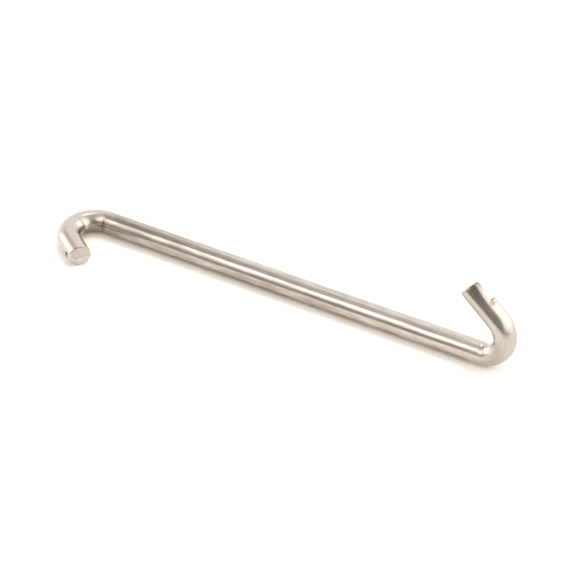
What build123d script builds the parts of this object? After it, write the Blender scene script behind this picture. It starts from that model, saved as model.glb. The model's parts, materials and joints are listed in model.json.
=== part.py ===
from build123d import *
import os
from math import cos, radians, sin, tan

# An oven door hinge link: one length of round stainless rod with a hook bent at each end.
# The link lies as it comes to rest. Its shank runs along X on the floor, the flat hook at -X
# lies on the floor and turns towards -Y, and the hook at +X stands up over the shank.
# Each leg ends in a sheared lug behind a cross notch, which holds the leg in its hole.
# Lengths are millimetres and angles are degrees.

# Rod and bends
rod_diameter = 6.35
shank_length = 115.4
inside_bend_radius = 3.85
hook_twist = 90.0

# Hook at -X, flat on the floor
flat_hook_turn = 144.0
flat_leg_length = 8.1
flat_lug_length = 1.25
flat_notch_width = 1.8
flat_break_offset = 0.9
flat_break_angle = 12.0

# Hook at +X, upright
upright_hook_turn = 137.5
upright_leg_length = 11.7
upright_lug_length = 3.5
upright_notch_width = 3.2
upright_break_offset = -3.0
upright_break_angle = 9.0

# Notch across each leg. Both lie on one side of the straight rod, midway between the sides
# that become the outsides of the two hooks
notch_depth = 1.65

# Lug between the notch and the end, ramped so that the leg enters its hole
ramp_drop_at_notch = 0.3
ramp_angle = 15.8

# Edge of the sheared end, which falls away past its break line where the rod broke through
end_edge_radius = 0.35

# Derived sizes
rod_radius = rod_diameter / 2
bend_radius = inside_bend_radius + rod_radius
notch_turn = hook_twist / 2
cutter_reach = 2 * rod_diameter


def notch_and_ramp(leg_length, lug_length, notch_width):
    """The waste above a leg's notch and ramp, for a leg along +Z with the notch towards +X."""
    lug_start = leg_length - lug_length
    past_end = leg_length + rod_diameter
    past_end_drop = ramp_drop_at_notch + (past_end - lug_start) * tan(radians(ramp_angle))
    profile = Polyline(
        (rod_radius - notch_depth, lug_start - notch_width),
        (rod_radius - notch_depth, lug_start),
        (rod_radius - ramp_drop_at_notch, lug_start),
        (rod_radius - past_end_drop, past_end),
        (rod_radius + cutter_reach, past_end),
        (rod_radius + cutter_reach, lug_start - notch_width),
        close=True,
    )
    return extrude(Plane.XZ * make_face(profile), cutter_reach, both=True)


def break_waste(leg_length, break_offset, break_angle):
    """The wedge that broke away from the end of a leg along +Z as it was sheared, on its +Y side."""
    wedge = Box(
        2 * cutter_reach, cutter_reach, cutter_reach, align=(Align.CENTER, Align.MIN, Align.MIN)
    )
    return Pos(0, break_offset, leg_length) * Rot(-break_angle, 0, 0) * wedge


def leg(leg_length, lug_length, notch_width, break_offset, break_angle):
    """A straight leg along +Z from the end of its bend, with the outside of the hook towards +X."""
    blank = Cylinder(rod_radius, leg_length, align=(Align.CENTER, Align.CENTER, Align.MIN))
    blank = fillet(blank.edges().sort_by(Axis.Z)[-1], end_edge_radius)
    cut = Rot(0, 0, notch_turn) * notch_and_ramp(leg_length, lug_length, notch_width)
    return blank - cut - break_waste(leg_length, break_offset, break_angle)


def hook(turn, hook_leg):
    """A bend and its leg, for a rod that arrives along +X and turns towards +Z."""
    angle = radians(turn)
    bend_axis = Axis((0, 0, bend_radius), (0, -1, 0))
    bend = revolve(Plane.YZ * Circle(rod_radius), axis=bend_axis, revolution_arc=turn)
    leg_frame = Plane(
        origin=(bend_radius * sin(angle), 0, bend_radius * (1 - cos(angle))),
        x_dir=(sin(angle), 0, -cos(angle)),
        z_dir=(cos(angle), 0, sin(angle)),
    )
    return bend + leg_frame * hook_leg


flat_leg = leg(
    flat_leg_length, flat_lug_length, flat_notch_width, flat_break_offset, flat_break_angle
)
upright_leg = leg(
    upright_leg_length,
    upright_lug_length,
    upright_notch_width,
    upright_break_offset,
    upright_break_angle,
)

twist = radians(hook_twist)
flat_frame = Plane(
    origin=(-shank_length / 2, 0, rod_radius), x_dir=(-1, 0, 0), z_dir=(0, -1, 0)
)
upright_frame = Plane(
    origin=(shank_length / 2, 0, rod_radius), x_dir=(1, 0, 0), z_dir=(0, -cos(twist), sin(twist))
)

shank = Pos(0, 0, rod_radius) * Rot(0, 90, 0) * Cylinder(rod_radius, shank_length)
hinge_link = shank
hinge_link += flat_frame * hook(flat_hook_turn, flat_leg)
hinge_link += upright_frame * hook(upright_hook_turn, upright_leg)

# The origin is the middle of the footprint, on the floor
footprint = hinge_link.bounding_box()
hinge_link = Pos(-footprint.center().X, -footprint.center().Y, -footprint.min.Z) * hinge_link

os.makedirs("parts", exist_ok=True)
export_step(hinge_link, "parts/hinge_link.step")
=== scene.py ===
import json
import math

import bpy
import numpy as np
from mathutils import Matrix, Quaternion, Vector


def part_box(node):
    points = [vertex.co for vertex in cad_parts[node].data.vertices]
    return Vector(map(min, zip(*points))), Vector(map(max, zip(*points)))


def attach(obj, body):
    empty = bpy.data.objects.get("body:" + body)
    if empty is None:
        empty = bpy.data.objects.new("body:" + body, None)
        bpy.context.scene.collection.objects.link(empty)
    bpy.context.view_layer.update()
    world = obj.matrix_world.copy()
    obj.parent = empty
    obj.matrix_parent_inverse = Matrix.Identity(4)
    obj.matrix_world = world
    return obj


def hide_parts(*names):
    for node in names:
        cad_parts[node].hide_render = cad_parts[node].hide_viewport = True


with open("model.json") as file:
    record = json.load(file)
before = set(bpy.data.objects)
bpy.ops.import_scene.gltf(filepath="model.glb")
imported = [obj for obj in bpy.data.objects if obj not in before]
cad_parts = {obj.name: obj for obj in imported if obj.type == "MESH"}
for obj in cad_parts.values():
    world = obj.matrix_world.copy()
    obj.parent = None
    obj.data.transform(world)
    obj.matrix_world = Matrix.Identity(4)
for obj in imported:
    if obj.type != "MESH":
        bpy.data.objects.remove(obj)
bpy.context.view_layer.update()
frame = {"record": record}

bl_info = {
    "name": "Oven Door Hinge Link",
    "version": (1, 0, 0),
    "blender": (4, 5, 0),
    "location": "View3D > Sidebar > Hinge Link",
    "description": "Dresses a hooked stainless hinge link and sets it on a plain studio floor",
    "category": "Object",
}

NODE = "hinge_link"
BODY = "root"
MILLIMETRE = 0.001

# The notches of both ends lie midway between the outsides of the two hooks
NOTCH_SIDE = math.radians(45)
FLAT_INSIDE = math.radians(180)
UPRIGHT_INSIDE = math.radians(270)

# The pin's mark starts at the shank on the flat hook, and this far into the bend on the upright one
UPRIGHT_PIN_LEAD = math.radians(13)
PIN_FADE = (math.radians(40), math.radians(80))

# Half the length along the rod of a notch's wall, and of the step at each end of a pin's mark
WALL = 0.08 * MILLIMETRE
FLAT_PIN_STEP = 0.15 * MILLIMETRE
UPRIGHT_PIN_STEP = 0.9 * MILLIMETRE

# How far dirt with painted shade reaches from a notch's wall and from a pin mark's crease
CORNER_DARK_REACH = 0.5 * MILLIMETRE
CREASE_DARK_REACH = 0.55 * MILLIMETRE
CREASE_SIDE = math.radians(195)
CREASE_SPREAD = math.radians(42)
# The darker rim along the top of the flat leg's end: how far it reaches, on which side, and how dark
RIM_DARK_REACH = 0.22 * MILLIMETRE
RIM_SIDE = (0.5, 0.95)
RIM_WEIGHT = 0.6

# The darker patch beside the far wall of the upright hook's notch
DARK_PATCH_PLACE = 0.5 * MILLIMETRE
DARK_PATCH_REACH = 0.7 * MILLIMETRE
DARK_PATCH_SIDE = math.radians(104)
DARK_PATCH_SPREAD = math.radians(16)
DARK_PATCH_WEIGHT = 0.8

# Dirt on the cut faces, where 1 is the most: dirt with painted shade at a notch's far wall, and dirt on the
# sheared part of an end, at its tear line and on the upright lug
FLAT_WALL_GRIME_AND_SHADE = 1.3
UPRIGHT_WALL_GRIME_AND_SHADE = 0.5
SHEARED_GRIME = 0.2
SHEARED_EDGE = (-0.1 * MILLIMETRE, 0.2 * MILLIMETRE)
TEAR_GRIME = 0.25
TEAR_GRIME_REACH = 0.2 * MILLIMETRE
END_GRIME_DEPTH = (0.5 * MILLIMETRE, 0.6 * MILLIMETRE)
LUG_GRIME = 0.85
LUG_GRIME_START = 0.9

# The line where the flat end tore, and how an end turns from sheared to torn, less on the flat outside
TEAR_PLACE = 0.35 * MILLIMETRE
TEAR_BOW = 0.9 * MILLIMETRE
TORN_EDGE = (-0.1 * MILLIMETRE, 0.25 * MILLIMETRE)
FLAT_OUTSIDE = (-0.1, 0.5)
FLAT_OUTSIDE_LESS = 0.85

# The skin is dull in the hooks, and in part where the shank is rubbed beside the flat hook
HOOK_FADE = 5 * MILLIMETRE
RUBBED_RUN = (18 * MILLIMETRE, 50 * MILLIMETRE)
RUBBED_DROP = (-0.65, -0.5)
RUBBED_TOP = 0.3
RUBBED_BELOW = 0.6

# Old grease and painted shade, with other darker places on the bends: how heavy each lies, where 1 hides the
# steel
FILM_AND_SHADE = {
    "crown": 0.72,
    "streak": 0.3,
    "beside": 0.45,
    "side": 0.8,
    # painted shade under the shank
    "below": 1.4,
    # darker on the flat bend's inside
    "bend": 2.4,
    # painted shade under the flat bend
    "shade_under_bend": 3.0,
    # darker outside the upright bend, on one side of its leg and on its lug
    "hook": 0.6,
    "leg": 0.45,
    "lug": 1.6,
}

# Where the grease, the painted shade and the other darkening lie. Runs and places are millimetres along the rod
# from the shank, a pin mark or an end. Drops are rod radii below the shank's axis. Over a pair, the darkening
# comes or goes
SHANK_RUN_IN = (-1, 4)
SHANK_RUN_OUT = (-4, 0)
CROWN_RUN_OUT = (10, 50)
CROWN_DROP = (-0.6, -0.3)
CROWN_BACK = (0.1, 0.45)
CROWN_BACK_LESS = 0.8
STREAK_RUN_IN = (2, 18)
STREAK_DROP = -0.68
STREAK_REACH = 0.14
BESIDE_RUN_OUT = (8, 20)
BESIDE_DROP = -0.42
BESIDE_REACH = 0.14
WORN_PLACE = 6
WORN_REACH = 6
WORN_DROP = (-0.75, -0.55)
WORN_LESS = 0.55
SIDE_FADE_START = 45
SIDE_FADE_END = 5
SIDE_DROP = (-0.45, -0.15)
BELOW_FADE_START = 60
BELOW_FAR_LESS = 0.2
BELOW_DROP = (0, 0.4)
BELOW_FOOT = (0.5, 0.8)
BELOW_FOOT_LESS = 0.6
BEND_RUN_IN = (1.5, 4)
BEND_RUN_OUT = (-0.5, 0)
UNDER_BEND_RUN_IN = (-1, 1)
UNDER_BEND_RUN_OUT = (0, 8)
UNDER_BEND_DROP = (-0.1, 0.3)
HOOK_PLACE = 8.5
HOOK_REACH = 6
LEG_RUN_OUT = (9, 15)
LEG_SIDE = math.radians(208)
LEG_SPREAD = math.radians(30)
LUG_PLACE = 1.3
LUG_REACH = 1.5
LUG_SIDE = math.radians(105)
LUG_SPREAD = math.radians(28)

# The side of the flat bend's inside that is darkened
BEND_DARK_SIDE = math.radians(186)
BEND_DARK_SPREAD = math.radians(20)

# The side of the upright leg that is darker towards its end
END_DARKENING_SIDE = math.radians(135)
END_DARKENING_SPREAD = math.radians(27)
END_DARKENING_RUN = (2.5 * MILLIMETRE, 8 * MILLIMETRE)
END_DARKENING_MOST = 0.75

# How the drawn skin shows its lines, and what is left of them where it is dulled
LINE_SHADES = (0.82, 1.12)
LINES_LEFT = 0.25
FILM_STREAKS = 0.45
SPECK_WEIGHT = 0.22
CREASE_WEIGHT = 0.95
ROUGHNESS_RANGE = (0.8, 1.2)
COARSE_RELIEF = 2.0

# How the cut faces show their grain
SHEARED_SHADE = 0.85
SHEARED_SMOOTHER = 0.8
SHEARED_RELIEF = 3.0

FLAT_NOTCH = 1.8 * MILLIMETRE
UPRIGHT_NOTCH = 3.2 * MILLIMETRE

RING_POINTS = 176
CAP_RINGS = 16

# The rings are closest over this much of each end, and over this much the end's facet fades into the leg
END_RINGS = 0.8 * MILLIMETRE
FACET_FADE = 1.2 * MILLIMETRE

# A plane counts as this steep, as a cosine, where it is turned further away from the axis
GRAZING = 0.1

# The floor's half-width in metres, the camera's sensor in millimetres and its near and far limits in metres
FLOOR_REACH = 3.0
SENSOR_WIDTH = 36.0
NEAREST = 0.01
FARTHEST = 100.0

# The cards that show in the metal but don't light the floor
METAL_ONLY = ("lamp_card", "lid_card")


def packed_mount(name):
    """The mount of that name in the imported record, as (position, axis, sizes in millimetres)."""
    found = next(m for m in frame["record"]["mounts"] if m["name"] == name)
    return Vector(found["pos_m"]), Vector(found["axis"]), found["dims"]


def packed_notch(hook):
    """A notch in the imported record: its floor over the leg's axis, and its middle back from the leg's end."""
    tip, leg_axis, _ = packed_mount(f"{hook}_hook_leg")
    point, normal, _ = packed_mount(f"{hook}_hook_notch")
    return (point - tip).dot(normal), (tip - point).dot(leg_axis)


def packed_sizes():
    """The link's driving sizes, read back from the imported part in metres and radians.

    A hook of turn t and bend radius R on a rod of radius r has its tip at height
    r + R (1 - cos t) + leg sin t, which gives R. The two bends and the shank fill the box's length.
    """
    _, flat_axis, flat_dims = packed_mount("flat_hook_leg")
    upright_tip, upright_axis, upright_dims = packed_mount("upright_hook_leg")
    radius = upright_dims["r_mm"] * MILLIMETRE
    upright_leg = upright_dims["length_mm"] * MILLIMETRE
    upright_turn = math.atan2(upright_axis.z, upright_axis.x)
    rise = upright_tip.z - radius - upright_leg * math.sin(upright_turn)
    bend_radius = rise / (1 - math.cos(upright_turn))
    _, flat_middle = packed_notch("flat")
    notch_floor, upright_middle = packed_notch("upright")
    box_low, box_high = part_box(NODE)
    return {
        "rod_radius": radius,
        "bend_radius": bend_radius,
        "shank_length": box_high.x - box_low.x - 2 * (bend_radius + radius),
        "shank_y": box_high.y - radius,
        "flat_turn": math.atan2(-flat_axis.y, -flat_axis.x),
        "flat_leg": flat_dims["length_mm"] * MILLIMETRE,
        "upright_turn": upright_turn,
        "upright_leg": upright_leg,
        "notch_floor": notch_floor,
        "flat_lug": flat_middle - FLAT_NOTCH / 2,
        "upright_lug": upright_middle - UPRIGHT_NOTCH / 2,
    }


PACKED = packed_sizes()


def length(name, description, default):
    """A length property, in metres."""
    return bpy.props.FloatProperty(
        name=name, description=description, default=default, min=0.0, precision=5, unit="LENGTH"
    )


def place_along(name, description, default):
    """A place along an axis, in metres, on either side of its zero."""
    return bpy.props.FloatProperty(
        name=name, description=description, default=default, precision=5, unit="LENGTH"
    )


def angle(name, description, default):
    """An angle property, in radians."""
    return bpy.props.FloatProperty(
        name=name, description=description, default=default, precision=4, unit="ROTATION"
    )


def colour(name, description, default):
    """A linear colour property."""
    return bpy.props.FloatVectorProperty(
        name=name, description=description, default=default, min=0.0, max=1.0, subtype="COLOR"
    )


def factor(name, description, default, highest=1.0):
    """A plain number from 0 up."""
    return bpy.props.FloatProperty(
        name=name, description=description, default=default, min=0.0, max=highest, precision=3
    )


class HingeLinkSizes(bpy.types.PropertyGroup):
    """The rod, its two hooks and the cut ends of their legs."""

    rod_radius: length("Rod radius", "Half the thickness of the rod", PACKED["rod_radius"])
    bend_radius: length("Bend radius", "Radius of each bend's middle line", PACKED["bend_radius"])
    shank_length: length("Shank", "Straight length between the bends", PACKED["shank_length"])
    flat_turn: angle("Flat turn", "How far the flat hook turns", PACKED["flat_turn"])
    flat_leg: length("Flat leg", "Straight end of the flat hook", PACKED["flat_leg"])
    upright_turn: angle("Upright turn", "How far the upright hook turns", PACKED["upright_turn"])
    upright_leg: length("Upright leg", "Straight end of the upright hook", PACKED["upright_leg"])
    notch_floor: length("Notch floor", "Height of a notch's floor over the axis", PACKED["notch_floor"])
    flat_lug: length("Flat lug", "From the flat leg's end to its notch", PACKED["flat_lug"])
    flat_notch: length("Flat notch", "Length of the notch along the flat leg", FLAT_NOTCH)
    upright_lug: length("Upright lug", "From the upright leg's end to its notch", PACKED["upright_lug"])
    upright_notch: length("Upright notch", "Length of the notch along the upright leg", UPRIGHT_NOTCH)
    ramp_at_notch: length("Ramp at notch", "Drop of a lug's ramp beside the notch", 0.3 * MILLIMETRE)
    ramp_angle: angle("Ramp angle", "Slope of a lug's ramp", math.radians(15.8))
    flat_edge: length("Flat edge", "Rounding of the flat end's edge", 0.35 * MILLIMETRE)
    upright_edge: length("Upright edge", "Rounding of the upright end's edge", 0.8 * MILLIMETRE)
    flat_break: place_along("Flat break", "Where the flat end's broken facet starts", 0.9 * MILLIMETRE)
    flat_break_angle: angle("Flat break angle", "Slope of the flat end's facet", math.radians(12))
    upright_break: place_along("Upright break", "Where the upright end's facet starts", -3 * MILLIMETRE)
    upright_break_angle: angle("Upright break angle", "Slope of the upright end's facet", math.radians(9))
    pinch_depth: length("Pinch", "Depth of the flat pressed on the upright lug", 0.2 * MILLIMETRE)
    pinch_side: angle("Pinch side", "Angle from the notch round to the flat", math.radians(88))
    flat_pin: length("Flat pin mark", "Depth of the bending pin's mark in the flat hook", 0.15 * MILLIMETRE)
    upright_pin: length("Upright pin mark", "Depth of the pin's mark in the upright hook", 0.26 * MILLIMETRE)
    pin_turn: angle("Pin mark turn", "How far round a bend the pin's mark runs", math.radians(77))
    softness: length("Softness", "How far the cut edges are worn round", 0.1 * MILLIMETRE)


class HingeLinkFinish(bpy.types.PropertyGroup):
    """The colour and surface of the drawn rod and of its sheared faces."""

    steel: colour("Steel", "Clean drawn stainless", (0.59, 0.53, 0.477))
    # The colour of the heaviest grease, also used for the painted shade under the shank and the flat bend
    film_and_shade: colour("Film", "Steel under the heaviest film of old grease", (0.288, 0.252, 0.213))
    # The colour of dirt, also used for the painted shade in the notch corners and the pin mark's creases
    grime_and_shade: colour("Grime", "Dirt in the corners of the notches and in creases", (0.20, 0.14, 0.10))
    sheared: colour("Sheared", "Cut faces of the lugs and notches", (0.56, 0.51, 0.465))
    torn: colour("Torn", "Broken facets of the ends", (0.675, 0.625, 0.586))
    roughness: factor("Roughness", "Roughness of the drawn rod", 0.14)
    dulled: factor("Dulled", "Roughness that bending and rubbing add", 0.12)
    sheared_roughness: factor("Sheared roughness", "Roughness of the cut faces", 0.38)
    torn_roughness: factor("Torn roughness", "Roughness that breaking adds", 0.3)
    line_depth: length("Line depth", "Depth of the drawing lines", 0.004 * MILLIMETRE)


class HingeLinkStage(bpy.types.PropertyGroup):
    """The camera, the lamps and the pale floor."""

    azimuth: angle("Azimuth", "Turn of the camera to the right of the front", math.radians(31.12))
    elevation: angle("Elevation", "Height of the camera over the floor", math.radians(35.4))
    distance: length("Distance", "From the camera to the point that it looks at", 0.8)
    focal_length: factor("Focal length", "Lens in millimetres on a 36 mm sensor", 186.56, 1000.0)
    target: bpy.props.FloatVectorProperty(
        name="Target",
        description="Point on the floor at the middle of the picture",
        default=(-0.00186, 0.01117, 0.0),
        subtype="TRANSLATION",
    )
    floor_colour: colour("Floor", "Pale floor", (0.93, 0.925, 0.91))
    floor_lift: colour("Floor lift", "Light that the floor adds, for the eye and metal", (0.14, 0.108, 0.075))
    room: factor("Room", "Brightness of the white room", 1.25, 10.0)
    overhead: factor("Overhead", "Brightness of the lamp over the floor", 7.5, 10.0)
    lamp: factor("Lamp", "Brightness of the lamp as the metal shows it", 4.1, 10.0)
    key: factor("Key", "Brightness of the card in front", 2.06, 10.0)
    right: factor("Right", "Brightness of the right card", 2.1, 10.0)
    left: factor("Left", "Brightness of the left card", 2.31, 10.0)
    lid: factor("Lid", "Brightness above the front of the room", 0.6825)
    shade: factor("Shade", "Brightness of the unlit front of the room", 0.4875)
    front_right: factor("Front right", "Brightness of the front's right side", 0.3315)
    # A dim card on the floor in front that only the metal shows: painted shade
    front_floor_shade: factor("Front floor", "Brightness of the floor in front", 0.24375)
    ceiling: factor("Ceiling", "Brightness of the gap in the ceiling", 0.375)
    warmth: colour("Warmth", "Colour of the unlit parts of the room", (1.0, 0.945, 0.9))


def smooth_step(low, high, value):
    """0 below low, 1 above high, and 3 t^2 - 2 t^3 between them."""
    t = np.clip((value - low) / (high - low), 0, 1)
    return t * t * (3 - 2 * t)


def bell(distance, reach):
    """1 at no distance, falling as exp(-(distance / reach)^2)."""
    return np.exp(-((distance / reach) ** 2))


def turned_from(turn, side):
    """The angle from side to turn, between minus and plus half a turn."""
    return np.angle(np.exp(1j * (turn - side)))


def smooth_min(a, b, width):
    """The lesser of a and b, less (width - |a - b|)^2 / 4 width where they are closer than width."""
    near = np.maximum(width - np.abs(a - b), 0)
    return np.minimum(a, b) - near * near / (4 * width)


def spaced(breaks, steps):
    """Points from the first break to the last, each stretch evenly divided by about its own step."""
    runs = [
        np.linspace(low, high, math.ceil((high - low) / step), endpoint=False)
        for low, high, step in zip(breaks, breaks[1:], steps)
    ]
    return np.concatenate([*runs, breaks[-1:]])


def rod_length(sizes):
    """Length of the rod before it was bent."""
    turns = sizes.flat_turn + sizes.upright_turn
    return sizes.flat_leg + sizes.upright_leg + sizes.shank_length + sizes.bend_radius * turns


def bend_ends(sizes):
    """Where the shank starts and ends along the straight rod."""
    shank_start = sizes.flat_leg + sizes.bend_radius * sizes.flat_turn
    return shank_start, shank_start + sizes.shank_length


def pin_runs(sizes):
    """Each bend's pin mark: its start, end, the turn of the bend's inside, half its steps, and its depth."""
    run = sizes.bend_radius * sizes.pin_turn
    shank_start, shank_end = bend_ends(sizes)
    upright_start = shank_end + sizes.bend_radius * UPRIGHT_PIN_LEAD
    return (
        (shank_start - run, shank_start, FLAT_INSIDE, FLAT_PIN_STEP, sizes.flat_pin),
        (upright_start, upright_start + run, UPRIGHT_INSIDE, UPRIGHT_PIN_STEP, sizes.upright_pin),
    )


def end_breaks(lug, notch):
    """Where the spacing of the rings changes between a leg's end and the far wall of its notch."""
    return [0.0, END_RINGS, lug - WALL, lug + WALL, lug + notch - WALL, lug + notch + WALL]


def ring_stations(sizes):
    """Where the rings lie along the straight rod: close at cuts and steps, wider elsewhere."""
    mm = MILLIMETRE
    end_steps = [0.04 * mm, 0.12 * mm, 0.02 * mm, 0.15 * mm, 0.02 * mm]
    flat_steps = [0.2 * mm, 0.05 * mm, 0.25 * mm, 0.05 * mm]
    shank_step = 1.5 * mm
    upright_steps = [0.2 * mm, 0.25 * mm]
    near = 2 * FLAT_PIN_STEP
    (flat_low, flat_high, *_), (_, upright_high, *_) = pin_runs(sizes)
    flat_breaks = [flat_low - near, flat_low + near, flat_high - near, flat_high + near]
    _, shank_end = bend_ends(sizes)
    upright_breaks = [shank_end, upright_high + UPRIGHT_PIN_STEP]
    total = rod_length(sizes)
    flat_end = end_breaks(sizes.flat_lug, sizes.flat_notch)
    upright_end = [total - e for e in reversed(end_breaks(sizes.upright_lug, sizes.upright_notch))]
    breaks = flat_end + flat_breaks + upright_breaks + upright_end
    return spaced(breaks, end_steps + flat_steps + [shank_step] + upright_steps + end_steps[::-1])


def plane_radius(turn, side, height):
    """Distance from the axis to a plane at that height on that side: height / cos(turn - side)."""
    return height / np.maximum(np.cos(turn - side), GRAZING)


def cut_height(sizes, from_end, lug, notch):
    """Height over the axis of the plane that cuts a leg: the lug's ramp, then the notch's floor, then clear.

    The ramp falls evenly from the notch to the end, and each wall of the notch is a smooth step.
    """
    ramp_drop = sizes.ramp_at_notch + (lug - from_end) * math.tan(sizes.ramp_angle)
    ramp = sizes.rod_radius - ramp_drop
    clear = sizes.rod_radius + 2 * sizes.softness
    to_floor = smooth_step(lug - WALL, lug + WALL, from_end)
    to_clear = smooth_step(lug + notch - WALL, lug + notch + WALL, from_end)
    notched = ramp + (sizes.notch_floor - ramp) * to_floor
    return notched + (clear - notched) * to_clear


def leg_places(sizes, along):
    """Whether a place is nearer the flat end, and the nearer end's distance, lug length and notch length."""
    total = rod_length(sizes)
    at_flat = along < total / 2
    from_end = np.where(at_flat, along, total - along)
    lug = np.where(at_flat, sizes.flat_lug, sizes.upright_lug)
    notch = np.where(at_flat, sizes.flat_notch, sizes.upright_notch)
    return at_flat, from_end, lug, notch


def section_radii(sizes, along, turn):
    """The rod's radius at each place along it and each turn about its axis, and where it is cut.

    The radius is the softened least of the round rod with its edge rounded off, the plane of the notch and
    ramp, and the flat pressed on the upright lug, which runs out towards the notch.
    """
    at_flat, from_end, lug, notch = leg_places(sizes, along)
    edge = np.where(at_flat, sizes.flat_edge, sizes.upright_edge)
    inset = np.maximum(edge - from_end, 0)
    round_rod = sizes.rod_radius - edge + np.sqrt(edge * edge - inset * inset)
    cut = plane_radius(turn, NOTCH_SIDE, cut_height(sizes, from_end, lug, notch))
    clear = sizes.rod_radius + 2 * sizes.softness
    flat = np.where(at_flat, clear, sizes.rod_radius - sizes.pinch_depth * (1 - from_end / lug))
    pinched = plane_radius(turn, NOTCH_SIDE + sizes.pinch_side, flat)
    radius = smooth_min(round_rod + 0 * turn, cut, sizes.softness)
    return smooth_min(radius, pinched, sizes.softness), cut < round_rod


def beside_inside(turn, inside):
    """How much a place lies on the inside of a bend, fading over PIN_FADE to either side of it."""
    return 1 - smooth_step(*PIN_FADE, np.abs(turned_from(turn, inside)))


def pin_marks(sizes, along, turn):
    """How deep the bending pin pressed the inside of each bend: even between two short steps."""
    total = 0
    for low, high, inside, step, depth in pin_runs(sizes):
        pressed = smooth_step(low - step, low + step, along)
        pressed = pressed - smooth_step(high - step, high + step, along)
        total = total + depth * pressed * beside_inside(turn, inside)
    return total


def straight_rod(sizes):
    """The rod before bending, as rings of points (along, y, z), and a mask of the cut places.

    Along runs from the flat hook's end to the upright hook's. y becomes the outside of the flat hook and
    z the outside of the upright hook. Each end is closed by rings that shrink to a point, and its
    facet falls back by tan(break angle) times the distance past the break line.
    """
    total = rod_length(sizes)
    turn = np.linspace(0, 2 * np.pi, RING_POINTS, endpoint=False)[None, :]
    along = ring_stations(sizes)[:, None]
    radius, cut = section_radii(sizes, along, turn)
    radius = radius - pin_marks(sizes, along, turn)
    shrink = np.linspace(0, 1, CAP_RINGS, endpoint=False)[:, None]
    radius = np.concatenate([radius[:1] * shrink, radius, radius[-1:] * shrink[::-1]])
    along = np.concatenate([0 * shrink, along, total + 0 * shrink])
    capped = np.ones((CAP_RINGS, RING_POINTS), bool)
    cut = np.concatenate([capped, cut, capped])
    y = radius * np.cos(turn)
    z = radius * np.sin(turn)
    flat_fall = np.maximum(z - sizes.flat_break, 0) * math.tan(sizes.flat_break_angle)
    upright_fall = np.maximum(y - sizes.upright_break, 0) * math.tan(sizes.upright_break_angle)
    near_flat = 1 - smooth_step(0, FACET_FADE, along)
    near_upright = 1 - smooth_step(0, FACET_FADE, total - along)
    along = along + flat_fall * near_flat - upright_fall * near_upright
    return np.stack([along, y, z], axis=-1), cut


def bent_rod(sizes, straight):
    """Carries points of the straight rod onto the bent one.

    The middle line runs in along the flat leg, round its bend by the angle a, along the shank, round the
    upright bend by the angle b and out along the upright leg. Across it, y points along
    (-sin a, cos a, 0) and z along (sin b, 0, -cos b).
    """
    along, y, z = straight[..., 0], straight[..., 1], straight[..., 2]
    bend = sizes.bend_radius
    shank_start, shank_end = bend_ends(sizes)
    a = np.clip((shank_start - along) / bend, 0, sizes.flat_turn)
    b = np.clip((along - shank_end) / bend, 0, sizes.upright_turn)
    flat_run = np.maximum(sizes.flat_leg - along, 0)
    upright_run = np.maximum(along - shank_end - bend * sizes.upright_turn, 0)
    shank = np.clip(along - shank_start, 0, sizes.shank_length) - sizes.shank_length / 2
    flat_x = -bend * np.sin(a) - flat_run * math.cos(sizes.flat_turn)
    flat_y = -bend * (1 - np.cos(a)) - flat_run * math.sin(sizes.flat_turn)
    upright_x = bend * np.sin(b) + upright_run * math.cos(sizes.upright_turn)
    upright_z = bend * (1 - np.cos(b)) + upright_run * math.sin(sizes.upright_turn)
    return np.stack(
        [
            shank + flat_x + upright_x - y * np.sin(a) + z * np.sin(b),
            PACKED["shank_y"] + flat_y + y * np.cos(a),
            sizes.rod_radius + upright_z - z * np.cos(b),
        ],
        axis=-1,
    )


def ring_faces(rings, points):
    """Quads between neighbouring rings, closed round each: corners (i, j), (i+1, j), (i+1, j+1), (i, j+1)."""
    i = np.arange(rings - 1)[:, None] * points
    j = np.arange(points)[None, :]
    after = (j + 1) % points
    return np.stack([i + j, i + points + j, i + points + after, i + after], axis=-1).reshape(-1, 4)


def tube_mesh(name, rings):
    """A closed mesh from rings of points, the first and last of which are single points drawn together."""
    count, points, _ = rings.shape
    inner = rings[1:-1].reshape(-1, 3)
    vertices = np.concatenate([inner, rings[0, :1], rings[-1, :1]])
    quads = ring_faces(count - 2, points)
    j = np.arange(points)
    after = (j + 1) % points
    last = (count - 3) * points
    first_fan = np.stack([np.full(points, len(inner)), j, after], axis=-1)
    last_fan = np.stack([np.full(points, len(inner) + 1), last + after, last + j], axis=-1)
    mesh = bpy.data.meshes.new(name)
    mesh.from_pydata(vertices.tolist(), [], quads.tolist() + first_fan.tolist() + last_fan.tolist())
    mesh.polygons.foreach_set("use_smooth", np.ones(len(mesh.polygons), bool))
    return mesh


def tube_values(grid):
    """A value for each vertex of a tube mesh, from a grid with one value for each point of its rings."""
    inner = grid[1:-1].reshape(-1, *grid.shape[2:])
    return np.concatenate([inner, grid[0, :1], grid[-1, :1]])


def tube_flags(grid):
    """A flag for each face of a tube mesh, set where three or more of its corners are set in the grid."""
    inner = grid[1:-1].astype(int)
    pairs = inner + np.roll(inner, -1, axis=1)
    quads = (pairs[:-1] + pairs[1:] > 2).ravel()
    return np.concatenate([quads, grid[0], grid[-1]])


def dulled_share(sizes, along, z):
    """How dull the skin is: 1 in the hooks, less on the rubbed part of the shank beside the flat hook.

    The rubbed part is duller below the top of the rod.
    """
    shank_start, shank_end = bend_ends(sizes)
    flat_hook = 1 - smooth_step(shank_start, shank_start + HOOK_FADE, along)
    upright_hook = smooth_step(shank_end - HOOK_FADE, shank_end, along)
    rubbed = 1 - smooth_step(*RUBBED_RUN, along - shank_start)
    below = smooth_step(*RUBBED_DROP, z / sizes.rod_radius)
    return np.maximum(flat_hook + upright_hook, rubbed * (RUBBED_TOP + RUBBED_BELOW * below))


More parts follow.
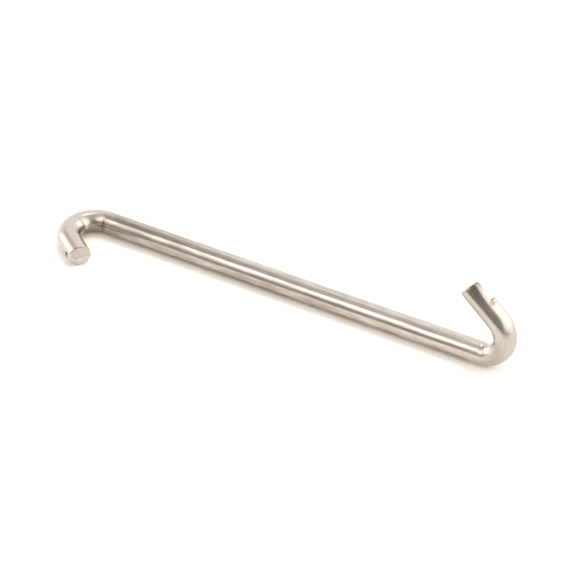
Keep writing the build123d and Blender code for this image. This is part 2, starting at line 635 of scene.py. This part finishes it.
def shank_film_and_shade(sizes, along, turn, drop):
    """Grease on the shank: on top beside the flat hook, worn at the start, and low on its sides towards the
    flat hook; painted shade under most of it.
    """
    past_start, past_end = ((along - place) / MILLIMETRE for place in bend_ends(sizes))
    shank = sizes.shank_length / MILLIMETRE
    crown = 1 - smooth_step(*CROWN_DROP, drop)
    crown = crown * (1 - CROWN_BACK_LESS * smooth_step(*CROWN_BACK, np.cos(turn)))
    near = 1 - smooth_step(*CROWN_RUN_OUT, past_start)
    streak = bell(drop - STREAK_DROP, STREAK_REACH) * smooth_step(*STREAK_RUN_IN, past_start)
    beside = bell(drop - BESIDE_DROP, BESIDE_REACH) * (1 - smooth_step(*BESIDE_RUN_OUT, past_start))
    over = (FILM_AND_SHADE["crown"] * crown + FILM_AND_SHADE["streak"] * streak) * near + FILM_AND_SHADE["beside"] * beside
    worn = bell(past_start - WORN_PLACE, WORN_REACH) * smooth_step(*WORN_DROP, drop)
    side_fade = smooth_step(SIDE_FADE_START, shank + SIDE_FADE_END, past_start)
    side = smooth_step(*SIDE_DROP, drop) * (1 - side_fade)
    # Painted shade under the shank, less at its very bottom and towards the upright hook
    below = smooth_step(*BELOW_DROP, drop) * (1 - BELOW_FOOT_LESS * smooth_step(*BELOW_FOOT, drop))
    below = below * (1 - BELOW_FAR_LESS * smooth_step(BELOW_FADE_START, shank, past_start))
    under = np.maximum(FILM_AND_SHADE["side"] * side, FILM_AND_SHADE["below"] * below)
    on_shank = smooth_step(*SHANK_RUN_IN, past_start) * (1 - smooth_step(*SHANK_RUN_OUT, past_end))
    return on_shank * (over * (1 - WORN_LESS * worn) + under)


def flat_bend_darkening(sizes, along, turn, drop):
    """Darker in the flat bend: on its inside, between the ends of the pin's mark, with painted shade
    underneath.
    """
    (low, high, *_), _ = pin_runs(sizes)
    past_low, past_high = ((along - place) / MILLIMETRE for place in (low, high))
    inside = smooth_step(*BEND_RUN_IN, past_low) * (1 - smooth_step(*BEND_RUN_OUT, past_high))
    inside = inside * bell(turned_from(turn, BEND_DARK_SIDE), BEND_DARK_SPREAD)
    # Painted shade under the flat bend
    under = smooth_step(*UNDER_BEND_RUN_IN, past_low) * (1 - smooth_step(*UNDER_BEND_RUN_OUT, past_high))
    under = under * smooth_step(*UNDER_BEND_DROP, drop)
    return FILM_AND_SHADE["bend"] * inside + FILM_AND_SHADE["shade_under_bend"] * under


def upright_hook_darkening(sizes, along, turn, drop):
    """Darker places on the upright hook: outside its bend, and on one side of its leg and of its lug."""
    _, shank_end = bend_ends(sizes)
    past_end = (along - shank_end) / MILLIMETRE
    from_end = (rod_length(sizes) - along) / MILLIMETRE
    outside = bell(past_end - HOOK_PLACE, HOOK_REACH) * smooth_step(*SIDE_DROP, drop)
    on_leg = (1 - smooth_step(*LEG_RUN_OUT, from_end)) * bell(turned_from(turn, LEG_SIDE), LEG_SPREAD)
    on_lug = bell(from_end - LUG_PLACE, LUG_REACH) * bell(turned_from(turn, LUG_SIDE), LUG_SPREAD)
    return FILM_AND_SHADE["hook"] * outside + FILM_AND_SHADE["leg"] * on_leg + FILM_AND_SHADE["lug"] * on_lug


def film_and_shade_share(sizes, along, turn, z):
    """How far the drawn skin is darkened, where 1 hides the steel: old grease, painted shade under the shank
    and the flat bend, and darker places on the bends.
    """
    drop = z / sizes.rod_radius
    return sum(film_and_shade(sizes, along, turn, drop) for film_and_shade in (shank_film_and_shade, flat_bend_darkening, upright_hook_darkening))


def past_tear(sizes, along, y, z):
    """How far a place on a leg's end lies past the line where it tore, which is bowed on the flat end."""
    at_flat, *_ = leg_places(sizes, along)
    bowed = TEAR_PLACE - TEAR_BOW * (y / sizes.rod_radius) ** 2
    return np.where(at_flat, z - bowed, y - sizes.upright_break)


def corner_grime_and_shade(sizes, along, y, z):
    """Dirt with painted shade in the corners of each notch, and dirt on the ends and on the upright hook's lug.
    """
    at_flat, from_end, lug, notch = leg_places(sizes, along)
    far_wall = np.where(at_flat, FLAT_WALL_GRIME_AND_SHADE, UPRIGHT_WALL_GRIME_AND_SHADE)
    far_wall = far_wall * bell(from_end - lug - notch, CORNER_DARK_REACH)
    corners = np.maximum(bell(from_end - lug, CORNER_DARK_REACH), far_wall)
    past = past_tear(sizes, along, y, z)
    sheared = 1 - smooth_step(*SHEARED_EDGE, past)
    end = SHEARED_GRIME * sheared + TEAR_GRIME * bell(past, TEAR_GRIME_REACH)
    end = end * (1 - smooth_step(*END_GRIME_DEPTH, from_end))
    on_lug = np.where(at_flat, 0.0, LUG_GRIME) * (1 - smooth_step(LUG_GRIME_START * lug, lug, from_end))
    return np.maximum(np.maximum(corners, end), on_lug)


def skin_dirt_and_shade(sizes, along, turn):
    """Darkening on the drawn skin: dirt with painted shade in the creases of the flat hook's pin mark, and
    darker places along the upper rim of its leg's end and beside the far wall of the upright hook's notch.
    """
    (low, high, *_), _ = pin_runs(sizes)
    creases = np.maximum(bell(along - low, CREASE_DARK_REACH), bell(along - high, CREASE_DARK_REACH))
    creases = creases * bell(turned_from(turn, CREASE_SIDE), CREASE_SPREAD)
    rim = bell(along, RIM_DARK_REACH) * smooth_step(*RIM_SIDE, -np.sin(turn))
    past_notch = rod_length(sizes) - along - sizes.upright_lug - sizes.upright_notch
    dark_patch = bell(past_notch - DARK_PATCH_PLACE, DARK_PATCH_REACH) * bell(turn - DARK_PATCH_SIDE, DARK_PATCH_SPREAD)
    return np.maximum(np.maximum(creases, RIM_WEIGHT * rim), DARK_PATCH_WEIGHT * dark_patch)


def end_darkening_share(sizes, along, turn):
    """Darker on one side of the upright leg: even near its end, then fading along it and to both sides."""
    from_end = rod_length(sizes) - along
    aside = bell(turned_from(turn, END_DARKENING_SIDE), END_DARKENING_SPREAD)
    return END_DARKENING_MOST * (1 - smooth_step(*END_DARKENING_RUN, from_end)) * aside


def torn_share(sizes, along, y, z):
    """Where a leg's end tore rather than sheared, less towards the outside of the flat hook."""
    at_flat, *_ = leg_places(sizes, along)
    torn = smooth_step(*TORN_EDGE, past_tear(sizes, along, y, z))
    outside = smooth_step(*FLAT_OUTSIDE, y / sizes.rod_radius)
    return torn * (1 - np.where(at_flat, FLAT_OUTSIDE_LESS, 0.0) * outside)


def paint(mesh, name, kind, grid):
    """Keeps a value for each point of a tube mesh as an attribute that materials can read."""
    attribute = mesh.attributes.new(name, kind, "POINT")
    field = "vector" if kind == "FLOAT_VECTOR" else "value"
    attribute.data.foreach_set(field, tube_values(grid).astype(np.float32).ravel())


def socket(group, name, kind, default=None, output=False):
    """Adds a named socket to a node group."""
    made = group.interface.new_socket(
        name=name, in_out="OUTPUT" if output else "INPUT", socket_type=kind
    )
    if default is not None:
        made.default_value = default


def place(tree, kind, **settings):
    """A node of that kind, with its properties set."""
    node = tree.nodes.new(kind)
    for name, value in settings.items():
        setattr(node, name, value)
    return node


def math_node(tree, operation, first, second=None, third=None):
    """A Math node on links or numbers. Returns its output."""
    node = place(tree, "ShaderNodeMath", operation=operation)
    for index, value in enumerate((first, second, third)):
        if isinstance(value, bpy.types.NodeSocket):
            tree.links.new(value, node.inputs[index])
        elif value is not None:
            node.inputs[index].default_value = value
    return node.outputs[0]


def noise(tree, position, stretch, scale, detail, sharpness=0.5):
    """Noise over the position with each axis multiplied by stretch. Returns its value."""
    scaled = place(tree, "ShaderNodeVectorMath", operation="MULTIPLY")
    tree.links.new(position, scaled.inputs[0])
    if isinstance(stretch, bpy.types.NodeSocket):
        tree.links.new(stretch, scaled.inputs[1])
    else:
        scaled.inputs[1].default_value = stretch
    texture = place(tree, "ShaderNodeTexNoise", noise_dimensions="3D")
    tree.links.new(scaled.outputs[0], texture.inputs["Vector"])
    texture.inputs["Scale"].default_value = scale
    texture.inputs["Detail"].default_value = detail
    texture.inputs["Roughness"].default_value = sharpness
    return texture.outputs["Fac"]


def map_range(tree, value, low, high, to_low=0.0, to_high=1.0):
    """Value from low..high to to_low..to_high, smoothly and held at both ends."""
    node = place(tree, "ShaderNodeMapRange", interpolation_type="SMOOTHSTEP")
    tree.links.new(value, node.inputs["Value"])
    node.inputs["From Min"].default_value = low
    node.inputs["From Max"].default_value = high
    node.inputs["To Min"].default_value = to_low
    node.inputs["To Max"].default_value = to_high
    return node.outputs["Result"]


def mix_colour(tree, amount, first, second, blend="MIX"):
    """Mixes two colours, each a link or a value. Returns the colour."""
    node = place(tree, "ShaderNodeMix", data_type="RGBA", blend_type=blend)
    tree.links.new(amount, node.inputs["Factor"])
    for index, value in ((6, first), (7, second)):
        if isinstance(value, bpy.types.NodeSocket):
            tree.links.new(value, node.inputs[index])
        else:
            node.inputs[index].default_value = (*value, 1.0)
    return node.outputs[2]


def drawn_lines_group():
    """Fine lines along the rod from the drawing die: noise stretched along the straight rod.

    Rod is a point of the straight rod in metres. Fine and Coarse are 0 to 1.
    """
    group = bpy.data.node_groups.new("Drawn Lines", "ShaderNodeTree")
    socket(group, "Rod", "NodeSocketVector")
    socket(group, "Stretch", "NodeSocketVector", (0.02, 1.0, 1.0))
    socket(group, "Fine", "NodeSocketFloat", output=True)
    socket(group, "Coarse", "NodeSocketFloat", output=True)
    inputs = place(group, "NodeGroupInput")
    outputs = place(group, "NodeGroupOutput")
    fine = noise(group, inputs.outputs["Rod"], inputs.outputs["Stretch"], scale=5200.0, detail=2.0)
    coarse = noise(group, inputs.outputs["Rod"], inputs.outputs["Stretch"], scale=1300.0, detail=3.0)
    group.links.new(fine, outputs.inputs["Fine"])
    group.links.new(coarse, outputs.inputs["Coarse"])
    return group


def handling_marks_group():
    """Marks of handling: Mottle is broad soft patches of stretched noise, and Speck is small sparse pits.

    Rod is a point of the straight rod in metres. Both outputs are 0 to 1.
    """
    group = bpy.data.node_groups.new("Handling Marks", "ShaderNodeTree")
    socket(group, "Rod", "NodeSocketVector")
    socket(group, "Mottle", "NodeSocketFloat", output=True)
    socket(group, "Speck", "NodeSocketFloat", output=True)
    inputs = place(group, "NodeGroupInput")
    outputs = place(group, "NodeGroupOutput")
    rod = inputs.outputs["Rod"]
    patch = noise(group, rod, stretch=(0.25, 1.0, 1.0), scale=520.0, detail=3.0, sharpness=0.6)
    pit = noise(group, rod, stretch=(0.6, 1.0, 1.0), scale=1100.0, detail=1.0)
    group.links.new(map_range(group, patch, low=0.2, high=0.7), outputs.inputs["Mottle"])
    group.links.new(map_range(group, pit, low=0.67, high=0.74), outputs.inputs["Speck"])
    return group


def group_node(tree, group, rod, stretch=None):
    """Places a node group and gives it the straight-rod position, and a stretch where it takes one."""
    node = place(tree, "ShaderNodeGroup", node_tree=group)
    tree.links.new(rod, node.inputs["Rod"])
    if stretch is not None:
        node.inputs["Stretch"].default_value = stretch
    return node


def shaded(tint, share):
    """A colour times a share."""
    return tuple(share * part for part in tint)


def steel_material(name):
    """A bare metal material. Returns it with its tree, shader and the straight-rod position."""
    material = bpy.data.materials.new(name)
    material.use_nodes = True
    tree = material.node_tree
    shader = tree.nodes["Principled BSDF"]
    shader.inputs["Metallic"].default_value = 1.0
    rod = place(tree, "ShaderNodeAttribute", attribute_name="straight").outputs["Vector"]
    return material, tree, shader, rod


def painted(tree, name):
    """A share from 0 to 1 that the mesh holds at each of its points."""
    return place(tree, "ShaderNodeAttribute", attribute_name=name).outputs["Fac"]


def bump(tree, height, distance, normal_input):
    """Gives a shader the relief of a height from 0 to 1 over that distance in metres."""
    node = place(tree, "ShaderNodeBump")
    node.inputs["Strength"].default_value = 1.0
    node.inputs["Distance"].default_value = distance
    tree.links.new(height, node.inputs["Height"])
    tree.links.new(node.outputs["Normal"], normal_input)


def drawn_stainless(finish, lines, marks):
    """The rod's drawn skin: lines and dashes along it, streaked grease and painted shade under the shank and
    the flat bend, specks, a darker side of the upright leg, and creases darkened by dirt and painted shade.

    Where the skin is dulled it is rougher, and its lines and streaks are calmer.
    """
    material, tree, shader, rod = steel_material("drawn_stainless")
    drawn = group_node(tree, lines, rod)
    handled = group_node(tree, marks, rod)
    dashed = group_node(tree, lines, rod, stretch=(0.15, 1.0, 1.0))
    dulled = painted(tree, "dulled")
    calm = map_range(tree, dulled, low=0.0, high=1.0, to_low=1.0, to_high=LINES_LEFT)
    grain = math_node(tree, "ADD", drawn.outputs["Coarse"], dashed.outputs["Coarse"])
    shade = map_range(tree, grain, low=0.75, high=1.25, to_low=-0.5, to_high=0.5)
    shade = math_node(tree, "MULTIPLY_ADD", shade, calm, 0.5)
    darkest, palest = (shaded(finish.steel, share) for share in LINE_SHADES)
    steel = mix_colour(tree, shade, darkest, palest)
    streak = map_range(
        tree, drawn.outputs["Coarse"], low=0.35, high=0.65, to_low=-FILM_STREAKS, to_high=FILM_STREAKS
    )
    streak = math_node(tree, "MULTIPLY_ADD", streak, calm, 1.0)
    # Grease, with painted shade under the shank and the flat bend, mottled and streaked
    film_and_shade = math_node(tree, "MULTIPLY", painted(tree, "film_and_shade"), handled.outputs["Mottle"])
    film_and_shade = math_node(tree, "MULTIPLY", film_and_shade, streak)
    speck = math_node(tree, "MULTIPLY", handled.outputs["Speck"], SPECK_WEIGHT)
    # Specks, and the darker side of the upright leg, darken the steel like the grease and painted shade
    for share in (film_and_shade, speck, painted(tree, "end_darkening")):
        steel = mix_colour(tree, share, steel, tuple(finish.film_and_shade))
    # Dirt with painted shade in the pin mark's creases, and a darker rim and patch
    crease = math_node(tree, "MULTIPLY", painted(tree, "crease"), CREASE_WEIGHT)
    steel = mix_colour(tree, crease, steel, tuple(finish.grime_and_shade))
    tree.links.new(steel, shader.inputs["Base Color"])
    smoothest, roughest = (share * finish.roughness for share in ROUGHNESS_RANGE)
    rough = map_range(tree, drawn.outputs["Fine"], low=0.25, high=0.75, to_low=smoothest, to_high=roughest)
    rough = math_node(tree, "MULTIPLY_ADD", dulled, finish.dulled, rough)
    tree.links.new(rough, shader.inputs["Roughness"])
    relief = math_node(tree, "MULTIPLY_ADD", drawn.outputs["Coarse"], COARSE_RELIEF, drawn.outputs["Fine"])
    bump(tree, relief, finish.line_depth, shader.inputs["Normal"])
    return material


def sheared_stainless(finish, lines, marks):
    """The cut faces of the lugs and notches: rougher and paler where they tore, with dirt and painted shade in
    the corners.
    """
    material, tree, shader, rod = steel_material("sheared_stainless")
    cut = group_node(tree, lines, rod, stretch=(1.0, 0.15, 0.15))
    grain = group_node(tree, lines, rod, stretch=(1.0, 1.0, 1.0))
    handled = group_node(tree, marks, rod)
    shade = map_range(tree, cut.outputs["Coarse"], low=0.3, high=0.7)
    steel = mix_colour(tree, shade, shaded(finish.sheared, SHEARED_SHADE), tuple(finish.sheared))
    torn = painted(tree, "torn")
    steel = mix_colour(tree, torn, steel, tuple(finish.torn))
    spots = map_range(tree, grain.outputs["Coarse"], low=0.5, high=0.75, to_low=0.0, to_high=0.4)
    steel = mix_colour(tree, spots, steel, tuple(finish.film_and_shade))
    # Dirt with painted shade in the notch corners, and dirt on the ends and the lug, mottled
    dark_patch = map_range(tree, handled.outputs["Mottle"], low=0.0, high=1.0, to_low=0.45, to_high=0.85)
    dark_patch = math_node(tree, "MULTIPLY", painted(tree, "grime_and_shade"), dark_patch)
    steel = mix_colour(tree, dark_patch, steel, tuple(finish.grime_and_shade))
    tree.links.new(steel, shader.inputs["Base Color"])
    roughest = finish.sheared_roughness
    smoothest = SHEARED_SMOOTHER * roughest
    rough = map_range(tree, cut.outputs["Coarse"], low=0.2, high=0.8, to_low=smoothest, to_high=roughest)
    rough = math_node(tree, "MULTIPLY_ADD", torn, finish.torn_roughness, rough)
    tree.links.new(rough, shader.inputs["Roughness"])
    bump(tree, cut.outputs["Coarse"], SHEARED_RELIEF * finish.line_depth, shader.inputs["Normal"])
    return material


def direction(azimuth, elevation):
    """Unit vector from degrees. Azimuth 0 is the back (+Y) and 90 the right (+X). Elevation is upwards."""
    a, e = math.radians(azimuth), math.radians(elevation)
    return Vector((math.sin(a) * math.cos(e), math.cos(a) * math.cos(e), math.sin(e)))


def place_facing(made, azimuth, elevation, distance, lean=0.0):
    """Puts a stage object at that place, facing the link and leaning by that many degrees."""
    toward = direction(azimuth, elevation)
    made.location = toward * distance
    upright = toward.to_track_quat("Z", "Y")
    made.rotation_euler = (upright @ Quaternion((0, 0, 1), -math.radians(lean))).to_euler()
    bpy.context.scene.collection.objects.link(made)


def softbox(name, radiance, azimuth, elevation, distance, side):
    """A square lamp that neither the camera nor the metal shows. One of area A has radiance = power / 4 A."""
    lamp = bpy.data.lights.new(name, "AREA")
    lamp.shape = "SQUARE"
    lamp.size = side
    lamp.energy = 4 * side * side * radiance
    box = bpy.data.objects.new(name, lamp)
    box.visible_camera = False
    box.visible_glossy = False
    place_facing(box, azimuth, elevation, distance)


def empty_material(name):
    """A material without nodes, and its tree."""
    material = bpy.data.materials.new(name)
    material.use_nodes = True
    material.node_tree.nodes.clear()
    return material, material.node_tree


def square_mesh(name, half, material):
    """A level square from -half to half in x and y."""
    mesh = bpy.data.meshes.new(name)
    corners = [(-half, -half, 0), (half, -half, 0), (half, half, 0), (-half, half, 0)]
    mesh.from_pydata(corners, [], [(0, 1, 2, 3)])
    mesh.materials.append(material)
    return mesh


def card_light(name, brightness, feather, tint):
    """Even light that fades over the feather at the card's edges, by smooth steps in |x| and |y|."""
    material, tree = empty_material(name)
    split = place(tree, "ShaderNodeSeparateXYZ")
    tree.links.new(place(tree, "ShaderNodeTexCoord").outputs["Object"], split.inputs[0])
    sides = [math_node(tree, "ABSOLUTE", split.outputs[axis]) for axis in ("X", "Y")]
    fades = [map_range(tree, side, 1 - feather, 1.0, 1.0, 0.0) for side in sides]
    clear = place(tree, "ShaderNodeBsdfTransparent")
    shine = place(tree, "ShaderNodeEmission")
    shine.inputs["Color"].default_value = (*tint, 1.0)
    shine.inputs["Strength"].default_value = brightness
    mix = place(tree, "ShaderNodeMixShader")
    tree.links.new(math_node(tree, "MULTIPLY", *fades), mix.inputs[0])
    tree.links.new(clear.outputs[0], mix.inputs[1])
    tree.links.new(shine.outputs[0], mix.inputs[2])
    output = place(tree, "ShaderNodeOutputMaterial")
    tree.links.new(mix.outputs[0], output.inputs["Surface"])
    return material


def stage_card(name, brightness, feather, tint, lights_floor):
    """A soft-edged square card, 2 m wide before it is scaled, that the camera doesn't see.

    A card that doesn't light the floor shows in the metal alone.
    """
    mesh = square_mesh(name, 1, card_light(name, brightness, feather, tint))
    card = bpy.data.objects.new(name, mesh)
    card.visible_camera = False
    card.visible_diffuse = lights_floor
    card.visible_shadow = lights_floor
    return card


def reflection_card(name, brightness, tint, azimuth, elevation, width, height, feather, distance, lean):
    """A card that faces the link from that direction and spans that width and height, in degrees."""
    card = stage_card(name, brightness, feather, tint, lights_floor=name not in METAL_ONLY)
    card.scale = (*(distance * math.tan(math.radians(size / 2)) for size in (width, height)), 1.0)
    place_facing(card, azimuth, elevation, distance, lean)


def floor_shade_card(name, brightness, tint, azimuth, distance, length_along, width, feather):
    """A soft-edged card that lies just over the floor, lengthwise towards that azimuth: painted shade on the
    floor that only the metal shows.
    """
    card = stage_card(name, brightness, feather, tint, lights_floor=False)
    card.scale = (width / 2, length_along / 2, 1.0)
    card.location = direction(azimuth, 0) * distance + Vector((0, 0, MILLIMETRE))
    card.rotation_euler = (0, 0, -math.radians(azimuth))
    bpy.context.scene.collection.objects.link(card)


def floor_material(stage):
    """A pale floor with the link's shadow, lifted to white by warm light that the eye and metal see."""
    material, tree = empty_material("pale_floor")
    matt = place(tree, "ShaderNodeBsdfDiffuse")
    matt.inputs["Color"].default_value = (*stage.floor_colour, 1.0)
    lift = place(tree, "ShaderNodeEmission")
    lift.inputs["Color"].default_value = (*stage.floor_lift, 1.0)
    path = place(tree, "ShaderNodeLightPath")
    shown = path.outputs["Is Camera Ray"]
    for kind in ("Is Glossy Ray", "Is Transmission Ray"):
        shown = math_node(tree, "MAXIMUM", shown, path.outputs[kind])
    tree.links.new(shown, lift.inputs["Strength"])
    both = place(tree, "ShaderNodeAddShader")
    tree.links.new(matt.outputs["BSDF"], both.inputs[0])
    tree.links.new(lift.outputs["Emission"], both.inputs[1])
    output = place(tree, "ShaderNodeOutputMaterial")
    tree.links.new(both.outputs["Shader"], output.inputs["Surface"])
    return material


def white_room(stage):
    """A plain white world."""
    world = bpy.data.worlds.new("white_room")
    world.use_nodes = True
    background = world.node_tree.nodes["Background"]
    background.inputs["Color"].default_value = (1.0, 1.0, 1.0, 1.0)
    background.inputs["Strength"].default_value = stage.room
    bpy.context.scene.world = world


def look_from(stage):
    """The camera, on the line from its target at the stage's azimuth and elevation."""
    camera = bpy.data.cameras.new("camera")
    camera.lens = stage.focal_length
    camera.sensor_width = SENSOR_WIDTH
    camera.clip_start = NEAREST
    camera.clip_end = FARTHEST
    back = Vector(
        (
            math.sin(stage.azimuth) * math.cos(stage.elevation),
            -math.cos(stage.azimuth) * math.cos(stage.elevation),
            math.sin(stage.elevation),
        )
    )
    eye = bpy.data.objects.new("camera", camera)
    eye.location = Vector(stage.target) + back * stage.distance
    eye.rotation_euler = back.to_track_quat("Z", "Y").to_euler()
    bpy.context.scene.collection.objects.link(eye)
    bpy.context.scene.camera = eye


class HINGELINK_OT_rod(bpy.types.Operator):
    """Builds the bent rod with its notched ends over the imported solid"""

    bl_idname = "hinge_link.rod"
    bl_label = "Bent Rod"

    def execute(self, context):
        sizes = context.scene.hinge_link_sizes
        finish = context.scene.hinge_link_finish
        straight, cut = straight_rod(sizes)
        along, y, z = straight[..., 0], straight[..., 1], straight[..., 2]
        turn = np.arctan2(z, y)
        # Darkening shares: grease with painted shade under the shank and the flat bend, and dirt with painted
        # shade in corners and creases
        shares = {
            "dulled": dulled_share(sizes, along, z),
            "film_and_shade": film_and_shade_share(sizes, along, turn, z),
            "grime_and_shade": corner_grime_and_shade(sizes, along, y, z),
            "crease": skin_dirt_and_shade(sizes, along, turn),
            "end_darkening": end_darkening_share(sizes, along, turn),
            "torn": torn_share(sizes, along, y, z),
        }
        mesh = tube_mesh("bent_rod", bent_rod(sizes, straight))
        paint(mesh, "straight", "FLOAT_VECTOR", straight)
        for name, share in shares.items():
            paint(mesh, name, "FLOAT", share)
        lines = drawn_lines_group()
        marks = handling_marks_group()
        mesh.materials.append(drawn_stainless(finish, lines, marks))
        mesh.materials.append(sheared_stainless(finish, lines, marks))
        mesh.polygons.foreach_set("material_index", tube_flags(cut).astype(np.int32))
        rod = bpy.data.objects.new("bent_rod", mesh)
        context.scene.collection.objects.link(rod)
        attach(rod, BODY)
        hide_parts(NODE)
        return {"FINISHED"}


class HINGELINK_OT_stage(bpy.types.Operator):
    """Sets the floor, the lamps, the cards and the camera"""

    bl_idname = "hinge_link.stage"
    bl_label = "Studio Stage"

    def execute(self, context):
        stage = context.scene.hinge_link_stage
        context.scene.view_settings.view_transform = "Standard"
        white_room(stage)
        floor = bpy.data.objects.new("floor", square_mesh("floor", FLOOR_REACH, floor_material(stage)))
        context.scene.collection.objects.link(floor)
        white = (1.0, 1.0, 1.0)
        warm = tuple(stage.warmth)
        softbox("overhead_softbox", stage.overhead, azimuth=-12, elevation=78, distance=1.1, side=0.27)
        # Name, brightness, tint, azimuth, elevation, width, height, feather, distance and lean
        cards = (
            ("lamp_card", stage.lamp, white, -21, 69, 24, 12, 0.5, 1.1, 0),
            ("right_card", stage.right, white, 66, 27, 100, 62, 0.35, 1.3, 0),
            ("left_card", stage.left, white, -101, 14, 40, 40, 0.3, 1.15, 0),
            ("ceiling_card", stage.ceiling, warm, -95, 48, 84, 76, 1.0, 1.2, 0),
            ("lid_card", stage.lid, warm, 145, 71, 64, 64, 0.6, 1.22, 0),
            ("key_card", stage.key, white, -153, 47.5, 66, 25, 0.2, 1.1, 0),
            ("front_card", stage.shade, warm, -145, 14, 80, 28, 0.25, 1.2, 0),
            ("front_right_card", stage.front_right, warm, 157, 24, 68, 72, 0.35, 1.25, 16),
        )
        for card in cards:
            reflection_card(*card)
        # Painted shade on the floor in front, seen only in the metal
        floor_shade_card(
            "front_floor_shade_card", stage.front_floor_shade, warm, azimuth=160, distance=0.39, length_along=0.7,
            width=0.6, feather=0.15,
        )
        look_from(stage)
        return {"FINISHED"}


class HINGELINK_PT_sidebar(bpy.types.Panel):
    """Sizes, finish and stage of the hinge link"""

    bl_idname = "HINGELINK_PT_sidebar"
    bl_label = "Hinge Link"
    bl_space_type = "VIEW_3D"
    bl_region_type = "UI"
    bl_category = "Hinge Link"

    def draw(self, context):
        scene = context.scene
        for group in (scene.hinge_link_sizes, scene.hinge_link_finish, scene.hinge_link_stage):
            column = self.layout.column(align=True)
            for name in type(group).__annotations__:
                column.prop(group, name)
        self.layout.operator(HINGELINK_OT_rod.bl_idname)
        self.layout.operator(HINGELINK_OT_stage.bl_idname)


CLASSES = (
    HingeLinkSizes,
    HingeLinkFinish,
    HingeLinkStage,
    HINGELINK_OT_rod,
    HINGELINK_OT_stage,
    HINGELINK_PT_sidebar,
)


def register():
    for made in CLASSES:
        bpy.utils.register_class(made)
    bpy.types.Scene.hinge_link_sizes = bpy.props.PointerProperty(type=HingeLinkSizes)
    bpy.types.Scene.hinge_link_finish = bpy.props.PointerProperty(type=HingeLinkFinish)
    bpy.types.Scene.hinge_link_stage = bpy.props.PointerProperty(type=HingeLinkStage)


def unregister():
    del bpy.types.Scene.hinge_link_stage
    del bpy.types.Scene.hinge_link_finish
    del bpy.types.Scene.hinge_link_sizes
    for made in reversed(CLASSES):
        bpy.utils.unregister_class(made)


def main():
    """Builds the link and its stage."""
    register()
    bpy.ops.hinge_link.rod()
    bpy.ops.hinge_link.stage()


if __name__ == "__main__":
    main()
